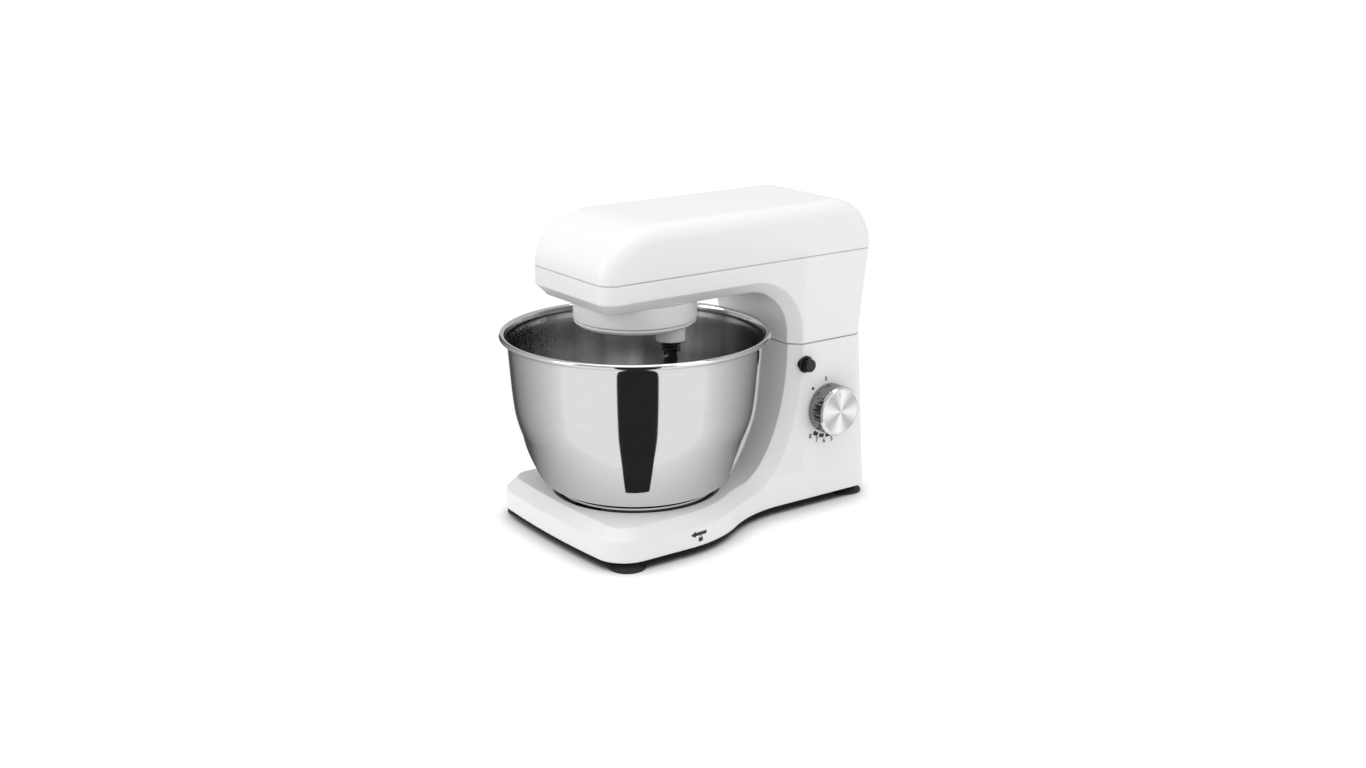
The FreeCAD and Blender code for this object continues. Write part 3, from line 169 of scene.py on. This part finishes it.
# %% [markdown]
# ## The speed dial
# The grip starts as a circle with many vertices. Every fourth vertex is pulled in a little before the wall
# is extruded, so the wall comes out with narrow grooves. A plain bright ring then frames the spun face, and a
# short line on the face points at the printed zero.

# %% Build the dial
DIAL_Y = (dial_low.y + dial_high.y) / 2
DIAL_Z = (dial_low.z + dial_high.z) / 2
DIAL_R = (dial_high.y - dial_low.y) / 2
DIAL_X = dial_low.x
DIAL_DEEP = dial_high.x - dial_low.x
ALONG_X = (0, math.pi / 2, 0)
GRIP_DEEP = DIAL_DEEP - 2.6 * MM
start()
bpy.ops.mesh.primitive_circle_add(vertices=128, radius=DIAL_R, fill_type="NGON")
bpy.ops.object.mode_set(mode="EDIT")
bpy.ops.mesh.select_mode(type="VERT")
bpy.ops.mesh.select_all(action="SELECT")
bpy.ops.mesh.select_nth(skip=3, nth=1)
bpy.ops.transform.resize(value=(0.982, 0.982, 1), center_override=(0, 0, 0))
bpy.ops.mesh.select_all(action="SELECT")
bpy.ops.mesh.extrude_region_move(TRANSFORM_OT_translate={"value": (0, 0, GRIP_DEEP)})
bpy.ops.object.mode_set(mode="OBJECT")
grip = settle("dial_grip", (DIAL_X, DIAL_Y, DIAL_Z), ALONG_X)
bpy.ops.object.shade_smooth_by_angle(angle=math.radians(20))
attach(grip, "dial")
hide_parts("speed_dial")
RING_LOW = GRIP_DEEP - 0.4 * MM
RING_TOP = DIAL_DEEP - 0.1 * MM
RING_STEP = DIAL_DEEP - 0.9 * MM
ring_rings = [
    (DIAL_R - 4 * MM, RING_LOW),
    (DIAL_R - 0.1 * MM, RING_LOW),
    (DIAL_R - 0.1 * MM, RING_TOP - 1.4 * MM),
    (DIAL_R - 1.4 * MM, RING_TOP),
    (DIAL_R - 2.9 * MM, RING_TOP),
    (DIAL_R - 3.1 * MM, RING_STEP),
    (DIAL_R - 4 * MM, RING_STEP),
]
collar = turned("dial_bright_ring", ring_rings, 128, (DIAL_X, DIAL_Y, DIAL_Z), ALONG_X)
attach(collar, "dial")
POINTER = 0.3 * MM
OFF_ANGLE = -5.6
pointer_angle = math.radians(OFF_ANGLE)
pointer_r = DIAL_R - 6.4 * MM
pointer_y = DIAL_Y + pointer_r * math.sin(pointer_angle)
pointer_z = DIAL_Z + pointer_r * math.cos(pointer_angle)
start()
bpy.ops.mesh.primitive_cube_add(size=1)
bpy.ops.transform.resize(value=(POINTER, 0.7 * MM, 4.2 * MM))
pointer = settle("dial_pointer", (DIAL_X + DIAL_DEEP - POINTER, pointer_y, pointer_z), (-pointer_angle, 0, 0))
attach(pointer, "dial")

# %% [markdown]
# ## The release button
# A rubber plunger with a waist: a stem that goes into the bezel, a narrow neck and a rounded cap.

# %% Build the button
BUTTON_Y = (button_low.y + button_high.y) / 2
BUTTON_Z = (button_low.z + button_high.z) / 2
CAP_R = (button_high.y - button_low.y) / 2
BUTTON_DEEP = button_high.x - button_low.x
STEM_R = CAP_R - 1.6 * MM
cap = arc_rings((CAP_R - 1.6 * MM, BUTTON_DEEP - 1.6 * MM), 1.6 * MM, 0, 86, 8)
waist = smooth_through([(STEM_R, BUTTON_DEEP - 9.5 * MM), (STEM_R, BUTTON_DEEP - 7.4 * MM),
                        (CAP_R - 0.7 * MM, BUTTON_DEEP - 4.6 * MM), (CAP_R, BUTTON_DEEP - 3.2 * MM)], 5)
rod = [(3 * MM, 0), (3 * MM, BUTTON_DEEP - 17 * MM), (STEM_R, BUTTON_DEEP - 17 * MM)]
button = turned("button_plunger", rod + waist + cap + [(1 * MM, BUTTON_DEEP)], 64,
                (button_low.x, BUTTON_Y, BUTTON_Z), ALONG_X)
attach(button, "button")
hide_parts("release_button")

# %% [markdown]
# ## The spindle spring
# A small circle beside the axis and a Screw modifier make the coil. The modifier is applied and the two cut
# ends of the wire are filled, so the spring is one closed tube.

# %% Build the spring
WIRE = 0.9 * MM
COIL_R = (spring_high.x - spring_low.x) / 2 - WIRE
TURNS = 2.5
COIL_TALL = spring_high.z - spring_low.z - 2 * WIRE
start()
bpy.ops.mesh.primitive_circle_add(vertices=16, radius=WIRE, location=(COIL_R, 0, 0),
                                  rotation=(math.pi / 2, 0, 0))
bpy.ops.object.transform_apply(location=True, rotation=True)
coil = active()
screw = coil.modifiers.new("coil", "SCREW")
screw.angle = TURNS * 2 * math.pi
screw.screw_offset = COIL_TALL
screw.steps = int(TURNS * 40)
screw.render_steps = screw.steps
bpy.ops.object.modifier_apply(modifier="coil")
bpy.ops.object.mode_set(mode="EDIT")
bpy.ops.mesh.select_all(action="SELECT")
bpy.ops.mesh.fill_holes(sides=0)
bpy.ops.object.mode_set(mode="OBJECT")
spring = settle("coil_spring", ((spring_low.x + spring_high.x) / 2, (spring_low.y + spring_high.y) / 2,
                                spring_low.z + WIRE))
bpy.ops.object.shade_smooth_by_angle(angle=math.radians(40))
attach(spring, "spindle")
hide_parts("spindle_spring")

# %% [markdown]
# ## Printed marks
# Plain numbers stand round the dial and wedge blocks grow with the speed. An arrow and a small padlock beside
# the bowl seat show which way the bowl locks. Each mark is a very thin solid on the casing's side.

# %% Build the marks
PRINT = 0.3 * MM
SIDE_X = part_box("button_bezel")[0].x
FACING_X = (math.pi / 2, 0, math.pi / 2)
marks = []


def print_text(name, words, tall, y, z):
    """A word or number lying on the side of the column."""
    start()
    bpy.ops.object.text_add()
    text = active()
    text.data.body = words
    text.data.size = tall
    text.data.align_x = "CENTER"
    text.data.align_y = "CENTER"
    text.data.extrude = PRINT / 2
    text.data.offset = 0.09 * MM
    bpy.ops.object.convert(target="MESH")
    marks.append(settle(name, (SIDE_X, y, z), FACING_X))


def print_block(name, wide, tall, place, turn):
    """A thin rectangle that faces along X before it is turned."""
    start()
    bpy.ops.mesh.primitive_cube_add(size=1)
    bpy.ops.transform.resize(value=(PRINT, wide, tall))
    marks.append(settle(name, place, turn))


def round_dial(angle, radius):
    """Y and Z of a place round the dial, degrees clockwise from the top."""
    turn = math.radians(angle)
    return DIAL_Y + radius * math.sin(turn), DIAL_Z + radius * math.cos(turn)


STEP = 16.5
LAST = 219.5
NUMBER_R = DIAL_R + 8.6 * MM
OFF_R = DIAL_R + 4.6 * MM
PULSE_ANGLE = -41
for number in range(1, 9):
    y, z = round_dial(LAST - (8 - number) * STEP, NUMBER_R)
    print_text("mark_%d" % number, str(number), 6.2 * MM, y, z)
print_text("mark_0", "0", 5.6 * MM, *round_dial(OFF_ANGLE, OFF_R))
for number in range(1, 8):
    angle = LAST - (7.5 - number) * STEP
    y, z = round_dial(angle, DIAL_R + 3.7 * MM)
    print_block("wedge_%d" % number, 5.6 * MM, (1.2 + 0.38 * number) * MM, (SIDE_X, y, z),
                (-math.radians(angle), 0, 0))
start()
bpy.ops.mesh.primitive_cylinder_add(vertices=32, radius=1.4 * MM, depth=PRINT)
y, z = round_dial(PULSE_ANGLE, OFF_R)
marks.append(settle("mark_pulse_dot", (SIDE_X, y, z), ALONG_X))


def on_base(y, z, first=(0, 0, 0)):
    """Place on the base's side at this Y and Z, and the turn that lays a piece flat on it there."""
    found, place, normal, face = nodes["base_shell"].ray_cast((1, y, z), (-1, 0, 0))
    lean = normal.to_track_quat("X", "Z")
    return place, (lean @ Euler(first).to_quaternion()).to_euler()


LOCK_Y = BOWL_Y - 2.9 * MM
LOCK_Z = 19.7 * MM
ARROW_HALF = 8.5 * MM
TIP_R = 3.3 * MM
tip_long = 1.5 * TIP_R
shaft_long = 2 * ARROW_HALF - tip_long
place, turn = on_base(LOCK_Y + tip_long / 2, LOCK_Z)
print_block("lock_arrow_shaft", shaft_long, 3 * MM, place, turn)
place, turn = on_base(LOCK_Y - ARROW_HALF + TIP_R, LOCK_Z, (math.pi, -math.pi / 2, 0))
start()
bpy.ops.mesh.primitive_cylinder_add(vertices=3, radius=TIP_R, depth=PRINT)
marks.append(settle("lock_arrow_tip", place, turn))
PADLOCK_Z = LOCK_Z - 5.4 * MM
place, turn = on_base(LOCK_Y + 2.1 * MM, PADLOCK_Z)
print_block("padlock_body", 4.6 * MM, 3.4 * MM, place, turn)
start()
bpy.ops.mesh.primitive_torus_add(major_radius=1.4 * MM, minor_radius=0.35 * MM,
                                 major_segments=32, minor_segments=8)
bpy.ops.transform.resize(value=(1, 1, 0.2))
place, turn = on_base(LOCK_Y + 2.1 * MM, PADLOCK_Z + 1.8 * MM, (0, math.pi / 2, 0))
marks.append(settle("padlock_shackle", place, turn))
for mark in marks:
    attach(mark, "base")

# %% [markdown]
# ## Finishes
# Every finish is procedural. Colours are given as sRGB hex and turned into linear values by one function.
# Patterns use object coordinates, so one unit is one metre and a scale of 1000 repeats about every
# millimetre.

# %% Helpers for materials
def linear(hex_code):
    """sRGB hex to a linear colour with alpha."""
    channels = [int(hex_code[i:i + 2], 16) / 255 for i in (1, 3, 5)]
    return [c / 12.92 if c <= 0.04045 else ((c + 0.055) / 1.055) ** 2.4 for c in channels] + [1]


def add(tree, kind, links=None, settings=None, **sockets):
    """Add a node; settings are its properties, sockets its constant inputs, links its wired inputs."""
    node = tree.nodes.new(kind)
    for key, item in (settings or {}).items():
        setattr(node, key, item)
    for key, item in sockets.items():
        node.inputs[key.replace("_", " ")].default_value = item
    for key, item in (links or {}).items():
        tree.links.new(item, node.inputs[key])
    return node


def ramp(tree, factor, low, high, start_at=0.3, end_at=0.7):
    node = add(tree, "ShaderNodeValToRGB", {"Fac": factor})
    first, last = node.color_ramp.elements
    first.position, first.color = start_at, linear(low)
    last.position, last.color = end_at, linear(high)
    return node.outputs["Color"]


def finish(name, low, high, rough, metal=0.0, scale=400.0, stretch=(1, 1, 1), bump=0.0, soft=0.0, **extra):
    """A finish whose colour and roughness wander a little between two values."""
    material = bpy.data.materials.new(name)
    material.use_nodes = True
    tree = material.node_tree
    shader = tree.nodes["Principled BSDF"]
    where = add(tree, "ShaderNodeTexCoord").outputs["Object"]
    stretched = add(tree, "ShaderNodeMapping", {"Vector": where}, Scale=stretch).outputs["Vector"]
    noise = add(tree, "ShaderNodeTexNoise", {"Vector": stretched}, Scale=scale, Detail=3.0).outputs["Fac"]
    tree.links.new(ramp(tree, noise, low, high), shader.inputs["Base Color"])
    spread = add(tree, "ShaderNodeMapRange", {"Value": noise}, To_Min=rough[0], To_Max=rough[1])
    tree.links.new(spread.outputs["Result"], shader.inputs["Roughness"])
    shader.inputs["Metallic"].default_value = metal
    for key, item in extra.items():
        shader.inputs[key.replace("_", " ")].default_value = item
    normal = None
    if soft:
        normal = add(tree, "ShaderNodeBevel", None, {"samples": 6}, Radius=soft).outputs["Normal"]
    if bump:
        links = {"Height": noise}
        if normal:
            links["Normal"] = normal
        normal = add(tree, "ShaderNodeBump", links, Strength=bump, Distance=0.0002).outputs["Normal"]
    if normal:
        tree.links.new(normal, shader.inputs["Normal"])
    return material


# %% [markdown]
# The casing is a satin white moulding with softened edges. The inside of the bowl is streaked upwards by
# stretching the noise along Z. The dial face uses a radial tangent, and its paler cones are painted
# highlights:
# base colour that stands in for the way spun metal catches soft lamps.

# %% Make the finishes
casing = finish("White ABS moulding", "#e6e6e5", "#eaeae9", (0.36, 0.44), scale=900.0, bump=0.02,
                soft=1.8 * MM, Coat_Weight=0.04, Coat_Roughness=0.2)
steel = finish("Polished stainless steel", "#d6d6d5", "#d9d9d8", (0.06, 0.066), 1.0, 60.0, (1, 1, 8))
brushed = finish("Brushed stainless steel", "#a2a2a1", "#f4f4f3", (0.14, 0.2), 1.0, 34.0, (1, 1, 0.03))
machined = finish("Machined steel", "#a4a5a7", "#bdbec0", (0.25, 0.4), 1.0, 300.0, (1, 1, 20))
black = finish("Black rubber", "#0d0d0e", "#161617", (0.45, 0.62), scale=1500.0, bump=0.08)
dark = finish("Black matt moulding", "#101011", "#1a1a1b", (0.4, 0.55), scale=1200.0, bump=0.05)
oxide = finish("Black oxide steel", "#1c1c1e", "#303033", (0.2, 0.34), 0.6, 700.0)
chrome = finish("Chrome plate", "#d8d8d8", "#e8e8e8", (0.05, 0.12), 1.0, 500.0)
grip_metal = finish("Dark chrome plate", "#7c7d7f", "#96979a", (0.12, 0.2), 1.0, 600.0)
spun = finish("Spun aluminium with painted highlights", "#dedede", "#e2e2e2", (0.24, 0.28), 1.0, 900.0)
nylon = finish("Natural nylon", "#ded8c6", "#ebe6d8", (0.4, 0.55), scale=700.0)
cast = finish("Die-cast aluminium", "#aeb0b2", "#c6c7c9", (0.4, 0.6), 0.9, 500.0, bump=0.1)
copper = finish("Enamelled copper wire", "#8a4a25", "#b8683a", (0.25, 0.4), 0.8, 900.0, (1, 1, 12))
laminate = finish("Paper laminate board", "#8f6d32", "#a37f40", (0.45, 0.6), scale=600.0)
ink = finish("Black print", "#18181a", "#29292b", (0.5, 0.65), scale=900.0)


def spin_round(material, axis, amount):
    """Stretch highlights across the tool marks of a piece spun about one axis."""
    tree = material.node_tree
    shader = tree.nodes["Principled BSDF"]
    around = add(tree, "ShaderNodeTangent", None, {"direction_type": "RADIAL", "axis": axis})
    tree.links.new(around.outputs["Tangent"], shader.inputs["Tangent"])
    shader.inputs["Anisotropic"].default_value = amount


def pale_cones(material, centre, low, high, pairs, phase):
    """Painted highlights: paler cones round a centre in the YZ plane, painted into the base colour where a
    spun face shows highlights under soft lamps.
    """
    tree = material.node_tree
    where = add(tree, "ShaderNodeTexCoord").outputs["Object"]
    spoke = add(tree, "ShaderNodeVectorMath", {0: where}, {"operation": "SUBTRACT"})
    spoke.inputs[1].default_value = centre
    axes = add(tree, "ShaderNodeSeparateXYZ", {"Vector": spoke.outputs["Vector"]})
    both_axes = {0: axes.outputs["Z"], 1: axes.outputs["Y"]}
    angle = add(tree, "ShaderNodeMath", both_axes, {"operation": "ARCTAN2"})
    waves = add(tree, "ShaderNodeMath", {0: angle.outputs["Value"]}, {"operation": "MULTIPLY_ADD"})
    waves.inputs[1].default_value = 2 * pairs
    waves.inputs[2].default_value = phase
    height = add(tree, "ShaderNodeMath", {0: waves.outputs["Value"]}, {"operation": "COSINE"})
    share = add(tree, "ShaderNodeMapRange", {"Value": height.outputs["Value"]}, From_Min=-1.0, From_Max=1.0)
    tone = ramp(tree, share.outputs["Result"], low, high, 0.0, 1.0)
    tree.links.new(tone, tree.nodes["Principled BSDF"].inputs["Base Color"])


spin_round(spun, "X", 0.9)
spin_round(brushed, "Z", 0.7)
# Painted highlights: the paler cones are painted into the dial face's base colour.
pale_cones(spun, (DIAL_X, DIAL_Y, DIAL_Z), "#b9b9ba", "#f4f4f4", 2, 0.6)

FINISH_OF_SLOT = {
    "white_casing": casing, "dark_plastic": dark, "black_rubber": black, "bowl_steel": steel,
    "machined_steel": machined, "blackened_steel": oxide, "chromed_pin": chrome, "gear_plastic": nylon,
    "cast_aluminium": cast, "copper": copper, "board_laminate": laminate, "dial_chrome": grip_metal,
    "dial_aluminium": spun,
}


def dress(item, material):
    item.data.materials.clear()
    item.data.materials.append(material)


for part in frame["record"]["subparts"]:
    node = nodes[part["node"]]
    dress(node, FINISH_OF_SLOT[part["material_slot"]])
    start()
    node.select_set(True)
    bpy.context.view_layer.objects.active = node
    bpy.ops.object.shade_smooth_by_angle(angle=math.radians(28))
    if part["material_slot"] == "white_casing":
        even = node.modifiers.new("even_shading", "WEIGHTED_NORMAL")
        even.keep_sharp = True
dress(bowl, steel)
bowl.data.materials.append(brushed)
for face in bowl.data.polygons:
    outward = face.normal.x * (face.center.x - BOWL_X) + face.normal.y * (face.center.y - BOWL_Y)
    below_rim = face.center.z < bowl_high.z - BEAD
    if below_rim and (outward < 0 or face.normal.z > 0.5):
        face.material_index = 1
dress(grip, grip_metal)
dress(collar, chrome)
dress(pointer, grip_metal)
dress(button, black)
dress(spring, oxide)
for mark in marks:
    dress(mark, ink)

# %% [markdown]
# ## Studio
# A pale floor, a white surround and large soft lamps. A dark card and two grey flags stand where only shiny
# surfaces can see them: product photographers place such cards to give a polished bowl its shape. The floor
# glows white and carries a painted contact shadow: its glow darkens where something stands close above it.

# %% Build the studio
CAMERA = Vector((1.1645, -0.84465, 0.5352))
AIM = Vector((-0.0016, 0.0001, 0.1191))
ahead = (AIM - CAMERA).normalized()
right = ahead.cross(Vector((0, 0, 1))).normalized()
front = Vector((-ahead.x, -ahead.y, 0)).normalized()
BOWL = Vector((BOWL_X, BOWL_Y, 0))


def card(name, corners, shades, along=front, low=0.0, high=1.0):
    """A card that only mirror-like surfaces can see, shaded from one tone to another along a direction."""
    start()
    bpy.ops.mesh.primitive_plane_add(size=1)
    item = active()
    item.name = name
    for vertex, (sideways, forward, height) in zip(item.data.vertices, corners):
        vertex.co = right * sideways + front * forward + Vector((0, 0, height))
    item.location = BOWL
    material = bpy.data.materials.new(name + "_glow")
    material.use_nodes = True
    tree = material.node_tree
    tree.nodes.remove(tree.nodes["Principled BSDF"])
    where = add(tree, "ShaderNodeTexCoord").outputs["Object"]
    how_far = add(tree, "ShaderNodeVectorMath", {0: where}, {"operation": "DOT_PRODUCT"})
    how_far.inputs[1].default_value = along
    part_way = add(tree, "ShaderNodeMapRange", {"Value": how_far.outputs["Value"]},
                   From_Min=low, From_Max=high)
    tone = ramp(tree, part_way.outputs["Result"], shades[0], shades[1], 0.0, 1.0)
    light = add(tree, "ShaderNodeEmission", {"Color": tone}, Strength=1.0)
    tree.links.new(light.outputs["Emission"], tree.nodes["Material Output"].inputs["Surface"])
    dress(item, material)
    item.visible_camera = False
    item.visible_diffuse = False
    item.visible_shadow = False
    item.visible_transmission = False


start()
bpy.ops.mesh.primitive_plane_add(size=40)
floor = active()
floor.name = "studio_floor"
paper = finish("Glowing paper sweep with painted contact shadow", "#f1f1f0", "#f4f4f3", (0.8, 0.9), scale=30.0)
tree = paper.node_tree
# Painted contact shadow: ambient occlusion darkens the floor's glowing colour where something stands close
# above.
occlusion_for_painted_shadow = add(tree, "ShaderNodeAmbientOcclusion", None, {"samples": 16}, Distance=0.05).outputs["AO"]
painted_shadow_tone = ramp(tree, occlusion_for_painted_shadow, "#141414", "#ffffff", 0.24, 0.8)
glow = add(tree, "ShaderNodeEmission", {"Color": painted_shadow_tone}, Strength=1.05)
both = add(tree, "ShaderNodeMixShader", Fac=0.94)
tree.links.new(tree.nodes["Principled BSDF"].outputs["BSDF"], both.inputs[1])
tree.links.new(glow.outputs["Emission"], both.inputs[2])
tree.links.new(both.outputs["Shader"], tree.nodes["Material Output"].inputs["Surface"])
dress(floor, paper)

MAT_Z = 0.0375
FLAG_MAT_Z = MAT_Z - 0.001
CARD_TOP = 0.24
STRIP_FAR = 0.235
STRIP_NEAR = 0.098
strip_far = (-0.046, 0.074)
strip_near = (-0.0095, 0.0175)
INK = ("#2a2a2a", "#2a2a2a")
GREY = ("#585858", "#ffffff")
FLAG_SIDE = 0.15
FLAG_REAR = -0.08
FLAG_FRONT = 0.13
FADE_FROM = -0.03
card("strip_card", [(x, STRIP_FAR, z) for z in (MAT_Z, CARD_TOP) for x in strip_far], INK)
near_edge = [(x, STRIP_NEAR, MAT_Z) for x in strip_near]
far_edge = [(x, STRIP_FAR, MAT_Z) for x in strip_far]
card("strip_mat", near_edge + far_edge, INK)
for name, side in (("left", -1), ("right", 1)):
    wall = [(side * FLAG_SIDE, y, z) for z in (FLAG_MAT_Z, CARD_TOP) for y in (FLAG_REAR, FLAG_FRONT)]
    flat = [(side * x, y, FLAG_MAT_Z) for y in (FLAG_REAR, FLAG_FRONT) for x in (0.0, FLAG_SIDE)]
    card("flag_" + name, wall, GREY, front, FADE_FROM, FLAG_FRONT)
    card("flag_mat_" + name, flat, GREY, front, FADE_FROM, FLAG_FRONT)

world = bpy.data.worlds.new("white_surround")
bpy.context.scene.world = world
world.use_nodes = True
sky = world.node_tree
background = sky.nodes["Background"]
paths = add(sky, "ShaderNodeLightPath")
seen = add(sky, "ShaderNodeMix", {"Factor": paths.outputs["Is Camera Ray"]}, {"data_type": "FLOAT"})
seen.inputs[2].default_value = 0.62
seen.inputs[3].default_value = 1.0
sky.links.new(seen.outputs[0], background.inputs["Strength"])
background.inputs["Color"].default_value = linear("#ffffff")


def lamp(name, place, aim, size, watts):
    start()
    bpy.ops.object.light_add(type="AREA", location=place)
    item = active()
    item.name = name
    item.data.shape = "RECTANGLE"
    item.data.size, item.data.size_y = size
    item.data.energy = watts
    item.rotation_mode = "QUATERNION"
    item.rotation_quaternion = (Vector(aim) - Vector(place)).to_track_quat("-Z", "Y")


lamp("overhead_softbox", (0.1, 0.0, 1.7), (0, 0, 0.1), (1.6, 1.6), 13)
lamp("nose_softbox", (-0.5, -1.7, 0.9), (0, 0, 0.15), (1.2, 1.0), 11)
lamp("side_softbox", (1.8, 0.5, 0.9), (0, 0.05, 0.15), (1.2, 1.0), 6.5)

# %% [markdown]
# ## Camera
# The camera stands to the right of the nose and a little above, looking at the middle of the mixer.

# %% Place the camera and finish
start()
bpy.ops.object.camera_add(location=CAMERA)
camera = active()
camera.name = "photo_camera"
camera.rotation_mode = "QUATERNION"
camera.rotation_quaternion = ahead.to_track_quat("-Z", "Y")
camera.data.sensor_fit = "HORIZONTAL"
camera.data.sensor_width = 36
camera.data.lens = 44.14
bpy.context.scene.camera = camera
bpy.context.scene.view_settings.view_transform = "Standard"
